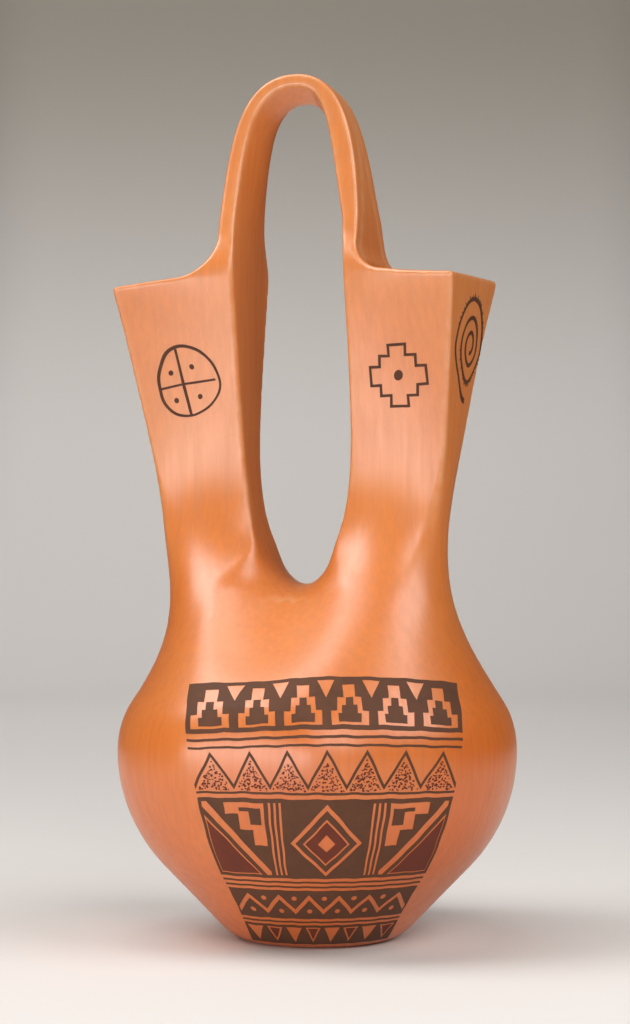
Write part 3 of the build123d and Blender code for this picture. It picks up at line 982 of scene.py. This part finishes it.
def press_tree(name, round_body):
    """Tree that presses a flat sheet onto the clay and gives it the thickness of paint."""
    inputs = [("Sheet", "Geometry"), ("Clay", "Object"), ("Paint", "Material")]
    inputs += [(socket, "Vector") for socket in ("Centre", "Across", "Facing")]
    inputs += [(socket, "Float") for socket in ("Bearing", "Half Turn", "Proud", "Sunk")]
    tree, n = new_tree(name, inputs, "Film")
    given = n.add("NodeGroupInput").outputs
    position = n.add("GeometryNodeInputPosition").outputs["Position"]
    flat = n.add("ShaderNodeSeparateXYZ", {"Vector": position}).outputs
    sideways, climb = flat["X"], flat["Y"]
    if round_body:
        level = n.math("COSINE", climb)
        taper = n.math("ADD", n.math("MULTIPLY", climb, PANEL_BEND), PANEL_GROWTH)
        half = n.math("ADD", n.math("MULTIPLY", climb, taper), PANEL_HALF)
        reach = n.math("MULTIPLY", n.math("DIVIDE", sideways, given["Half Turn"]), half)
        swing = n.math("ARCSINE", n.math("DIVIDE", reach, n.math("MULTIPLY", level, PANEL_RADIUS)))
        turn = n.math("ADD", swing, given["Bearing"])
        forward = n.math("MULTIPLY", n.math("COSINE", turn), -1.0)
        heading = {
            "X": n.math("MULTIPLY", level, n.math("SINE", turn)),
            "Y": n.math("MULTIPLY", level, forward),
            "Z": n.math("SINE", climb),
        }
        out = n.add("ShaderNodeCombineXYZ", heading).outputs["Vector"]
        spot = given["Centre"]
    else:
        out = given["Facing"]
        side = n.vector("SCALE", given["Across"], sideways)
        upward = n.add("ShaderNodeCombineXYZ", {"Z": climb}).outputs["Vector"]
        spot = n.vector("ADD", given["Centre"], n.vector("ADD", side, upward))
    clay = n.add("GeometryNodeObjectInfo", {"Object": given["Clay"]}).outputs["Geometry"]
    cast = {
        "Target Geometry": clay,
        "Source Position": n.vector("ADD", spot, n.vector("SCALE", out, RAY_START)),
        "Ray Direction": n.vector("SCALE", out, -1.0),
        "Ray Length": RAY_LENGTH,
    }
    ray = n.add("GeometryNodeRaycast", cast).outputs
    strays = {"Geometry": given["Sheet"], "Selection": n.math("SUBTRACT", 1.0, ray["Is Hit"])}
    sheet = n.add("GeometryNodeDeleteGeometry", strays, domain="POINT").outputs["Geometry"]
    inward = n.vector("SCALE", ray["Hit Normal"], n.math("MULTIPLY", given["Sunk"], -1.0))
    under = n.vector("ADD", ray["Hit Position"], inward)
    pressed = n.add("GeometryNodeSetPosition", {"Geometry": sheet, "Position": under}).outputs["Geometry"]
    thick = n.math("ADD", given["Sunk"], given["Proud"])
    n.hand_out("Film", n.film(pressed, thick, 1e-6), given["Paint"])
    return tree


def stipple_tree():
    """Tree that scatters small paint dabs over a pressed sheet."""
    inputs = [("Sheet", "Geometry"), ("Paint", "Material"), ("Seed", "Int")]
    inputs += [(socket, "Float") for socket in ("Density", "Dab", "Thick")]
    tree, n = new_tree("stipple", inputs, "Dabs")
    given = n.add("NodeGroupInput").outputs
    scatter = {"Mesh": given["Sheet"], "Density": given["Density"], "Seed": given["Seed"]}
    spots = n.add("GeometryNodeDistributePointsOnFaces", scatter).outputs
    disc = n.add("GeometryNodeMeshCircle", {"Vertices": 7, "Radius": given["Dab"]}, fill_type="NGON")
    spread = {"Min": (0.5, 0.5, 1.0), "Max": (1.5, 1.3, 1.0), "Seed": given["Seed"]}
    dabs = {
        "Points": spots["Points"],
        "Instance": n.film(disc.outputs["Mesh"], given["Thick"], 1e-7),
        "Rotation": spots["Rotation"],
        "Scale": n.add("FunctionNodeRandomValue", spread, data_type="FLOAT_VECTOR").outputs["Value"],
    }
    placed = n.add("GeometryNodeInstanceOnPoints", dabs).outputs["Instances"]
    n.hand_out("Dabs", placed, given["Paint"])
    return tree


def run_tree(mesh, tree, values):
    """Plain mesh that a tree makes of a mesh."""
    carrier = bpy.data.objects.new("carrier", mesh)
    bpy.context.scene.collection.objects.link(carrier)
    modifier = carrier.modifiers.new("tree", "NODES")
    modifier.node_group = tree
    for item in tree.interface.items_tree:
        if item.in_out == "INPUT" and item.name in values:
            modifier[item.identifier] = values[item.name]
    bpy.context.view_layer.update()
    ready = carrier.evaluated_get(bpy.context.evaluated_depsgraph_get())
    made = bpy.data.meshes.new_from_object(ready)
    carrier.modifiers.clear()
    bpy.data.objects.remove(carrier)
    if not made.polygons:
        raise RuntimeError("a tree made no faces")
    return made


def clay_guide():
    """One object with the whole clay surface, for the paint to be pressed on."""
    points = []
    faces = []
    for piece in bpy.context.scene.objects:
        if piece.name.startswith("clay_") and piece.type == "MESH":
            start = len(points)
            points += [tuple(v.co) for v in piece.data.vertices]
            faces += [tuple(start + v for v in face.vertices) for face in piece.data.polygons]
    mesh = bpy.data.meshes.new("guide")
    mesh.from_pydata(points, [], faces)
    mesh.polygons.foreach_set("use_smooth", [True] * len(faces))
    guide = bpy.data.objects.new("guide", mesh)
    bpy.context.scene.collection.objects.link(guide)
    return guide


def link_film(name, mesh, form, material):
    """Shade a film like the clay under it and link it as a piece."""
    mesh.name = name
    points = np.zeros(len(mesh.vertices) * 3)
    mesh.vertices.foreach_get("co", points)
    mesh.polygons.foreach_set("use_smooth", [True] * len(mesh.polygons))
    mesh.normals_split_custom_set_from_vertices(form.normals(points.reshape(-1, 3)).tolist())
    piece = new_piece(name, mesh, material)
    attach(piece, "root")
    return piece


def hand_drawn(loops, amount, pitch):
    """Loops with the small unsteadiness of a brush held by hand."""
    drawn = []
    for loop in loops:
        p = np.array(loop, float)
        u, v = p[:, 0] * pitch, p[:, 1] * pitch
        du = np.sin(0.9 * u + 1.7 * v + 0.4) + 0.6 * np.sin(2.3 * v - 1.1 * u)
        dv = np.sin(1.3 * u - 0.8 * v + 2.1) + 0.6 * np.sin(2.6 * u + 0.7 * v)
        drawn.append([tuple(q) for q in p + amount * np.column_stack([du, dv])])
    return drawn


def bowed(loops, half, rise):
    """Loops of the panel with its upper rows bowed up in the middle."""
    bow_start, bow_run = -12.0, 38.0
    bent = []
    for loop in loops:
        p = np.array(loop, float)
        lift = rise * np.clip((p[:, 1] - bow_start) / bow_run, 0, 1) * (1 - (p[:, 0] / half) ** 2)
        bent.append([tuple(q) for q in p + np.column_stack([np.zeros(len(p)), lift])])
    return bent


def panel_loops(half):
    """Dark, red and stippled loops of the belly panel, in degrees of bearing and climb."""
    dark = []
    red = []
    stipple = []
    # Top band: reserved terraces with a dark terrace in each
    dark.append(box(-half, half, 11.0, 26.0))
    spacing = 2 * half / 6
    for n in range(6):
        middle = -half + spacing * (n + 0.5)
        dark.append(terrace(middle, 12.2, 13.0, 11.4, 3))
        dark.append(terrace(middle, 12.9, 7.8, 6.8, 3))
        if n:
            edge = middle - spacing / 2
            dark.append([(edge - 3.2, 24.9), (edge, 19.6), (edge + 3.2, 24.9)])
    # Plain band between thin lines, then a zigzag with stippled teeth
    for low, high in ((8.9, 9.6), (6.9, 7.5), (-4.9, -4.3)):
        dark.append(box(-half, half, low, high))
    dark.append(zigzag(-half, half, 1.2, 4.2, 1.3, 7))
    xs = np.linspace(-half, half, 15)
    for n in range(0, 14, 2):
        stipple.append([(xs[n] + 0.8, -3.9), (xs[n + 2] - 0.8, -3.9), (xs[n + 1], 3.6)])
    # Main band: nested diamonds between triple lines, with a stair and a red field on each side
    dark.append(box(-half, half, -31.0, -6.0))
    dark.append(diamond(0, -18.5, 14.6, 11.4))
    dark.append(diamond(0, -18.5, 12.6, 9.8))
    dark.append(diamond(0, -18.5, 9.6, 7.5))
    red.append(diamond(0, -18.5, 8.6, 6.7))
    red.append(diamond(0, -18.5, 3.6, 2.8))
    for side in (-1, 1):
        for place in (17.4, 19.5, 21.6):
            ends = sorted((side * place, side * (place + 0.95)))
            dark.append(box(*ends, -29.9, -7.1))
        slope = [(24.4, -29.9), (26.4, -29.9), (47.4, -8.6), (47.4, -7.1), (45.6, -7.1), (24.4, -28.4)]
        dark.append([(side * u, v) for u, v in slope])
        field = [(28.6, -29.9), (47.4, -29.9), (47.4, -10.8)]
        dark.append([(side * u, v) for u, v in field])
        red.append([(side * u, v) for u, v in ((29.9, -29.4), (47.0, -29.4), (47.0, -12.2))])
        stair = [(24.2, -7.2), (39.6, -7.2), (39.6, -10.4), (34.6, -10.4), (34.6, -14.8), (29.4, -14.8)]
        stair += [(29.4, -19.6), (24.2, -19.6)]
        dark.append([(side * u, v) for u, v in stair])
        inner = [(25.6, -8.6), (34.0, -8.6), (34.0, -9.6), (30.2, -9.6), (30.2, -13.2), (25.6, -13.2)]
        dark.append([(side * u, v) for u, v in inner])
    # Two thin lines
    for low, high in ((-33.1, -32.4), (-35.2, -34.5)):
        dark.append(box(-half, half, low, high))
    # Lower band: a reserved zigzag with dots in its bends
    dark.append(box(-half, half, -50.0, -36.6))
    dark.append(zigzag(-half + 0.8, half - 0.8, -43.3, 3.5, 2.5, 6))
    xs = np.linspace(-half + 0.8, half - 0.8, 13)
    for n in range(1, 12):
        dark.append(oval(xs[n], -43.3 + (3.0 if n % 2 == 0 else -3.0), 1.5, 1.1, 14))
    dark.append(box(-half, half, -52.0, -51.3))
    # Foot band: hanging teeth, every other one with red in it
    dark.append(box(-half, half, -62.5, -53.2))
    spacing = 2 * half / 8
    for n in range(8):
        middle = -half + spacing * (n + 0.5)
        dark.append([(middle - 5.0, -54.2), (middle + 5.0, -54.2), (middle, -61.4)])
        if n % 2:
            red.append([(middle - 3.2, -54.9), (middle + 3.2, -54.9), (middle, -59.6)])
    return dark, red, stipple


def circle_loops(line):
    """Loops of a hand-drawn quartered circle with a dot in each quarter."""
    turns = np.linspace(0, 2 * math.pi, 64)
    egg = np.column_stack(
        [
            0.0140 * np.cos(turns) + 0.0007 * np.cos(2 * turns + 0.6),
            0.0154 * np.sin(turns) - 0.0006 * np.sin(2 * turns + 0.3),
        ]
    )
    widths = line * (1.05 + 0.25 * np.cos(turns - 2.6))
    rings = []
    for sign in (1, -1):
        way = np.gradient(egg, axis=0)
        way /= np.linalg.norm(way, axis=1, keepdims=True)
        side = np.column_stack([way[:, 1], -way[:, 0]])
        rings.append([tuple(p) for p in (egg + sign * side * widths[:, None] / 2)[:-1]])
    upright = [(-0.0044, 0.0143), (-0.0033, 0.007), (-0.0020, -0.0012), (-0.0008, -0.008)]
    upright.append((0.0006, -0.0147))
    level = [(-0.0128, -0.0032), (-0.007, -0.0023), (-0.0020, -0.0013), (0.005, -0.0003)]
    level.append((0.0127, 0.0006))
    strokes = [
        stroke(upright, np.array([0.9, 0.95, 1.15, 1.2, 1.0]) * line),
        stroke(level, np.array([0.9, 0.85, 0.8, 0.85, 0.8]) * line),
    ]
    dots = [(-0.0074, 0.0038), (0.0024, 0.0062), (-0.0060, -0.0086), (0.0053, -0.0068)]
    return rings, strokes, [oval(x, y, 0.0011, 0.0012, 16) for x, y in dots]


def cross_loops(line):
    """Loops of a terraced four-direction cross with a dot at its middle."""
    loops = []
    for inset in (0.0, line):
        a, b, c = 0.0046 - inset, 0.0092 - inset, 0.0138 - inset
        quarter = [(c, a), (b, a), (b, b), (a, b), (a, c)]
        loop = quarter + [(-x, y) for x, y in reversed(quarter)]
        loop += [(-x, -y) for x, y in quarter] + [(x, -y) for x, y in reversed(quarter)]
        loops.append(loop)
    return loops, [oval(0, 0, 0.0021, 0.0022, 18)]


def spiral_loops(line, radius):
    """Loops of a three-turn spiral and of the bristle marks along its outer turn."""
    share = np.linspace(0, 1, 150)
    turns = math.radians(-90) + share * math.radians(1080)
    reach = radius * (0.17 + 1.06 * share**1.3)
    path = np.column_stack([reach * np.cos(turns), reach * np.sin(turns)])
    widths = line * (1.35 + 0.5 * np.sin(turns + 0.8) ** 2 + 0.5 * smooth((share - 0.9) / 0.1))
    bristles = []
    for n in range(48):
        turn = math.radians(-170 + 7.0 * n)
        place = int(np.argmin(np.abs(turns - turn - 4 * math.pi)))
        start = reach[place] + 0.5 * line
        end = start + line * (1.1 + 0.5 * math.sin(3.7 * n))
        ray = [
            (start * math.cos(turn), start * math.sin(turn)),
            (end * math.cos(turn + 0.04), end * math.sin(turn + 0.04)),
        ]
        bristles.append(stroke(ray, [0.6 * line, 0.35 * line]))
    groups = []
    for loops in ([stroke(path, widths)], bristles):
        groups.append([[(u * (1 - 0.4 * smooth(-v / radius)), v) for u, v in loop] for loop in loops])
    return groups


class JAR_OT_shape_clay(bpy.types.Operator):
    """Shape one smooth clay piece for each coil"""

    bl_idname = "jar.shape_clay"
    bl_label = "Shape Clay"

    def execute(self, context):
        scene = context.scene
        form = ClayForm(scene.jar_sizes)
        points, faces, bands = clay_skin(form)
        material = burnished_clay(scene.jar_finish)
        middles = points[faces].mean(1)
        left = middles[:, 0] < form.lean(middles[:, 2])
        for band, (left_name, right_name) in enumerate(band_names(scene.jar_sizes)):
            for name in sorted({left_name, right_name}):
                chosen = bands == band
                if left_name != right_name:
                    chosen &= left if name == left_name else ~left
                self.make_piece(form, name, points, faces[chosen], material)
        return {"FINISHED"}

    def make_piece(self, form, name, points, faces, material):
        """Close one band of the skin and link it as a piece."""
        caps = seam_caps(points, faces)
        used = np.unique(faces)
        place = np.full(len(points), -1)
        place[used] = np.arange(len(used))
        spots = points[used]
        quads = place[faces]
        tris = place[np.array(caps)] if caps else np.zeros((0, 3), int)
        mesh = bpy.data.meshes.new(name)
        mesh.from_pydata(spots.tolist(), [], quads.tolist() + tris.tolist())
        mesh.polygons.foreach_set("use_smooth", [True] * len(mesh.polygons))
        normals = form.normals(spots)
        flat = np.zeros((len(tris), 3, 3))
        flat[:, :, 2] = np.where(spots[tris[:, 0], 2] > spots[:, 2].mean(), 1.0, -1.0)[:, None]
        loops = np.vstack([normals[quads.ravel()], flat.reshape(-1, 3)])
        wear = mesh.attributes.new("wear", "FLOAT", "POINT")
        wear.data.foreach_set("value", form.wear(spots).astype(np.float32))
        mesh.update()
        mesh.normals_split_custom_set(loops.tolist())
        piece = new_piece("clay_" + name, mesh, material)
        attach(piece, "root")
        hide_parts(name)


class JAR_OT_paint_belly(bpy.types.Operator):
    """Press the painted panel onto the belly"""

    bl_idname = "jar.paint_belly"
    bl_label = "Paint Belly"

    def execute(self, context):
        scene = context.scene
        paint = scene.jar_paint
        finish = scene.jar_finish
        form = ClayForm(scene.jar_sizes)
        guide = clay_guide()
        tree = press_tree("press_on_body", True)
        dabs = stipple_tree()
        dark = brushed_paint("dark_paint", finish.dark_paint, finish.dark_thin)
        red = brushed_paint("red_paint", finish.red_paint, finish.red_thin)
        half = math.degrees(paint.panel_half_width)
        rise = math.degrees(paint.panel_rise)
        loops = panel_loops(half)
        # Gaps between points along a loop and in a sheet, and the unsteadiness of the hand, in degrees
        point_gap, sheet_gap, unsteady, pitch = 2.0, 1.3, 0.10, 0.35
        # The dabs are scattered on a bed far thinner than the paint
        bed = {"Proud": 0.00001, "Sunk": 0.00005}
        kinds = (("dark", dark, "dark_paint"), ("red", red, "red_paint"), ("stipple", red, "red_paint"))
        for place, turn in (("front", 0.0), ("back", math.pi)):
            values = {
                "Clay": guide,
                "Centre": (0.0, 0.0, paint.panel_centre),
                "Bearing": paint.panel_bearing + turn,
                "Half Turn": paint.panel_half_width,
                "Proud": paint.proud,
                "Sunk": paint.sunk,
            }
            for (kind, material, slot), group in zip(kinds, loops):
                drawn = hand_drawn([finer(loop, point_gap) for loop in group], unsteady, pitch)
                drawn = bowed(drawn, half, rise)
                turned = [[(math.radians(u), math.radians(v)) for u, v in loop] for loop in drawn]
                sheet = flat_sheet("sheet", turned, math.radians(sheet_gap))
                values["Paint"] = material
                if kind == "stipple":
                    film = run_tree(sheet, tree, {**values, **bed})
                    scatter = {
                        "Paint": material,
                        "Density": paint.stipple_density,
                        "Dab": paint.dab_radius,
                        "Thick": paint.proud,
                        "Seed": paint.seed,
                    }
                    film = run_tree(film, dabs, scatter)
                else:
                    film = run_tree(sheet, tree, values)
                link_film(f"{place}_panel_{kind}", film, form, material)
        bpy.data.objects.remove(guide)
        return {"FINISHED"}


class JAR_OT_paint_spouts(bpy.types.Operator):
    """Press the brush figures onto the spouts"""

    bl_idname = "jar.paint_spouts"
    bl_label = "Paint Spouts"

    def execute(self, context):
        scene = context.scene
        paint = scene.jar_paint
        form = ClayForm(scene.jar_sizes)
        guide = clay_guide()
        tree = press_tree("press_on_face", False)
        finish = scene.jar_finish
        brown = brushed_paint("brush_line", finish.brush_line, finish.dark_thin)
        rings, strokes, dots = circle_loops(paint.line)
        cross, centre = cross_loops(paint.line)
        spiral, bristles = spiral_loops(paint.line, paint.spiral_radius)
        front = (0.0, -1.0, 0.0)
        right = (1.0, 0.0, 0.0)
        left_spot = (paint.left_figure, 0.0, paint.figure_height)
        right_spot = (paint.right_figure, 0.0, paint.figure_height)
        outer_spot = (0.0, paint.spiral_depth, paint.spiral_height)
        figures = (
            ("left_circle", [rings, strokes[:1], strokes[1:], dots], left_spot, right, front),
            ("right_cross", [cross, centre], right_spot, right, front),
            ("right_spiral", [spiral, bristles], outer_spot, (0.0, 1.0, 0.0), right),
            ("left_spiral", [spiral, bristles], outer_spot, (0.0, -1.0, 0.0), (-1.0, 0.0, 0.0)),
        )
        sheet_gap, unsteady, pitch = 0.0008, 0.00012, 260.0
        shared = {"Clay": guide, "Paint": brown, "Proud": paint.proud, "Sunk": paint.sunk}
        for name, groups, spot, across, facing in figures:
            values = {**shared, "Centre": spot, "Across": across, "Facing": facing}
            for number, loops in enumerate(groups):
                sheet = flat_sheet("sheet", hand_drawn(loops, unsteady, pitch), sheet_gap)
                film = run_tree(sheet, tree, values)
                link_film(f"{name}_{number + 1}", film, form, brown)
        bpy.data.objects.remove(guide)
        return {"FINISHED"}


class JAR_OT_set_stage(bpy.types.Operator):
    """Set up the paper sweep, the soft lights and the camera"""

    bl_idname = "jar.set_stage"
    bl_label = "Set Stage"

    def execute(self, context):
        scene = context.scene
        self.lay_paper(scene.jar_finish, scene.jar_stage)
        self.hang_lights(scene)
        self.place_camera(scene)
        scene.view_settings.view_transform = "Standard"
        return {"FINISHED"}

    def lay_paper(self, finish, stage):
        """Round paper floor that sweeps up into a wall on every side, with painted shade high up and far
        out on both sides.
        """
        floor_radius, bend_radius, wall_height = 1.8, 1.2, 2.2
        bend_steps, around = 16, 96
        profile = [(0.0, 0.0), (0.6, 0.0), (1.2, 0.0), (floor_radius, 0.0)]
        for n in range(1, bend_steps + 1):
            turn = math.radians(90 * n / bend_steps)
            out, up = math.sin(turn), 1 - math.cos(turn)
            profile.append((floor_radius + bend_radius * out, bend_radius * up))
        profile.append((floor_radius + bend_radius, wall_height))
        points = [(0.0, 0.0, 0.0)]
        for radius, height in profile[1:]:
            for n in range(around):
                turn = 2 * math.pi * n / around
                points.append((radius * math.sin(turn), -radius * math.cos(turn), height))
        faces = [(0, 1 + n, 1 + (n + 1) % around) for n in range(around)]
        for ring in range(len(profile) - 2):
            start = 1 + ring * around
            for n in range(around):
                m = (n + 1) % around
                faces.append((start + n, start + around + n, start + around + m, start + m))
        mesh = bpy.data.meshes.new("paper_sweep")
        mesh.from_pydata(points, [], faces)
        mesh.polygons.foreach_set("use_smooth", [True] * len(mesh.polygons))
        material, nodes, shader = new_material("paper")
        place = nodes.add("ShaderNodeTexCoord").outputs["Object"]
        high = nodes.add("ShaderNodeSeparateXYZ", {"Vector": place}).outputs["Z"]
        # Painted shade: the paper darkens as it climbs behind the jar
        climb = nodes.span(high, 0.30, 1.20, interpolation_type="SMOOTHSTEP")
        tint = nodes.blend(climb, (*finish.paper, 1), (*finish.paper_high_shade, 1))
        # Painted shade: the paper darkens far out on both sides of the pale strip
        way = (math.cos(stage.paper_turn), math.sin(stage.paper_turn), 0.0)
        aside = nodes.add("ShaderNodeVectorMath", {0: place, 1: way}, operation="DOT_PRODUCT")
        far = nodes.math("ABSOLUTE", aside.outputs["Value"])
        half = stage.paper_half
        dim = nodes.span(far, 0.75 * half, 1.4 * half, interpolation_type="SMOOTHSTEP")
        paper_with_painted_shade = nodes.blend(dim, tint, (*finish.paper_side_shade, 1))
        material.node_tree.links.new(paper_with_painted_shade, shader.inputs["Base Color"])
        shader.inputs["Roughness"].default_value = 0.9
        shader.inputs["Specular IOR Level"].default_value = 0.1
        paper = new_piece("paper_sweep", mesh, material)

    def hang_lights(self, scene):
        """Soft boxes all round, one of them on the paper behind, with a dim room."""
        jar = (0.0, 0.0, 0.20)
        wall = (-1.30, 2.70, 0.45)
        high_jar = (0.0, 0.0, 0.28)
        boxes = (
            ("left_box", (-0.93, -0.46, 1.38), jar, (0.9, 0.9), 14.5),
            ("top_box", (-0.22, -0.15, 1.75), jar, (0.8, 0.8), 7.0),
            ("right_box", (1.22, -0.20, 1.15), jar, (1.1, 1.1), 14.5),
            ("front_box", (0.80, -1.30, 0.85), jar, (0.7, 0.9), 7.0),
            ("low_card", (-0.30, -0.95, 0.03), high_jar, (1.3, 0.5), 10.0),
            ("wall_box", (-0.70, 1.20, 1.60), wall, (1.2, 0.6), 13.3),
        )
        for name, place, target, size, power in boxes:
            lamp = bpy.data.lights.new(name, "AREA")
            lamp.shape = "RECTANGLE"
            lamp.size, lamp.size_y = size
            lamp.energy = power
            lamp.color = (1.0, 0.98, 0.96)
            holder = bpy.data.objects.new(name, lamp)
            holder.location = place
            aim = Vector(target) - Vector(place)
            holder.rotation_euler = aim.to_track_quat("-Z", "Y").to_euler()
            holder.visible_camera = False
            scene.collection.objects.link(holder)
        world = bpy.data.worlds.new("room")
        scene.world = world
        world.use_nodes = True
        background = world.node_tree.nodes["Background"]
        background.inputs["Color"].default_value = (1.0, 0.97, 0.94, 1)
        background.inputs["Strength"].default_value = 0.12

    def place_camera(self, scene):
        """Camera at the viewing angle, level with the spouts' roots."""
        stage = scene.jar_stage
        lens = bpy.data.cameras.new("camera")
        lens.lens = stage.lens
        lens.sensor_width = 36.0
        lens.clip_end = 20.0
        holder = bpy.data.objects.new("camera", lens)
        turn = stage.azimuth
        far = stage.distance
        holder.location = (far * math.sin(turn), -far * math.cos(turn), stage.height)
        holder.rotation_euler = (math.pi / 2 + stage.pitch, 0, turn + stage.yaw)
        scene.collection.objects.link(holder)
        scene.camera = holder


class JAR_PT_sidebar(bpy.types.Panel):
    """Sizes, finishes and steps of the jar"""

    bl_label = "Double-spouted Jar"
    bl_idname = "JAR_PT_sidebar"
    bl_space_type = "VIEW_3D"
    bl_region_type = "UI"
    bl_category = "Jar"

    def draw(self, context):
        layout = self.layout
        for group in GROUPS:
            section = layout.box()
            section.label(text=group.removeprefix("jar_").capitalize())
            values = getattr(context.scene, group)
            for name in values.__annotations__:
                section.prop(values, name)
        for step in STEPS:
            layout.operator(step.bl_idname)


STEPS = (JAR_OT_shape_clay, JAR_OT_paint_belly, JAR_OT_paint_spouts, JAR_OT_set_stage)
GROUPS = {"jar_sizes": JarSizes, "jar_paint": JarPaint, "jar_finish": JarFinish, "jar_stage": JarStage}


def register():
    for group in GROUPS.values():
        bpy.utils.register_class(group)
    for name, group in GROUPS.items():
        setattr(bpy.types.Scene, name, PointerProperty(type=group))
    for step in STEPS:
        bpy.utils.register_class(step)
    bpy.utils.register_class(JAR_PT_sidebar)


def unregister():
    bpy.utils.unregister_class(JAR_PT_sidebar)
    for step in reversed(STEPS):
        bpy.utils.unregister_class(step)
    for name in GROUPS:
        delattr(bpy.types.Scene, name)
    for group in reversed(list(GROUPS.values())):
        bpy.utils.unregister_class(group)


def main():
    register()
    bpy.ops.jar.shape_clay()
    bpy.ops.jar.paint_belly()
    bpy.ops.jar.paint_spouts()
    bpy.ops.jar.set_stage()


if __name__ == "__main__":
    main()
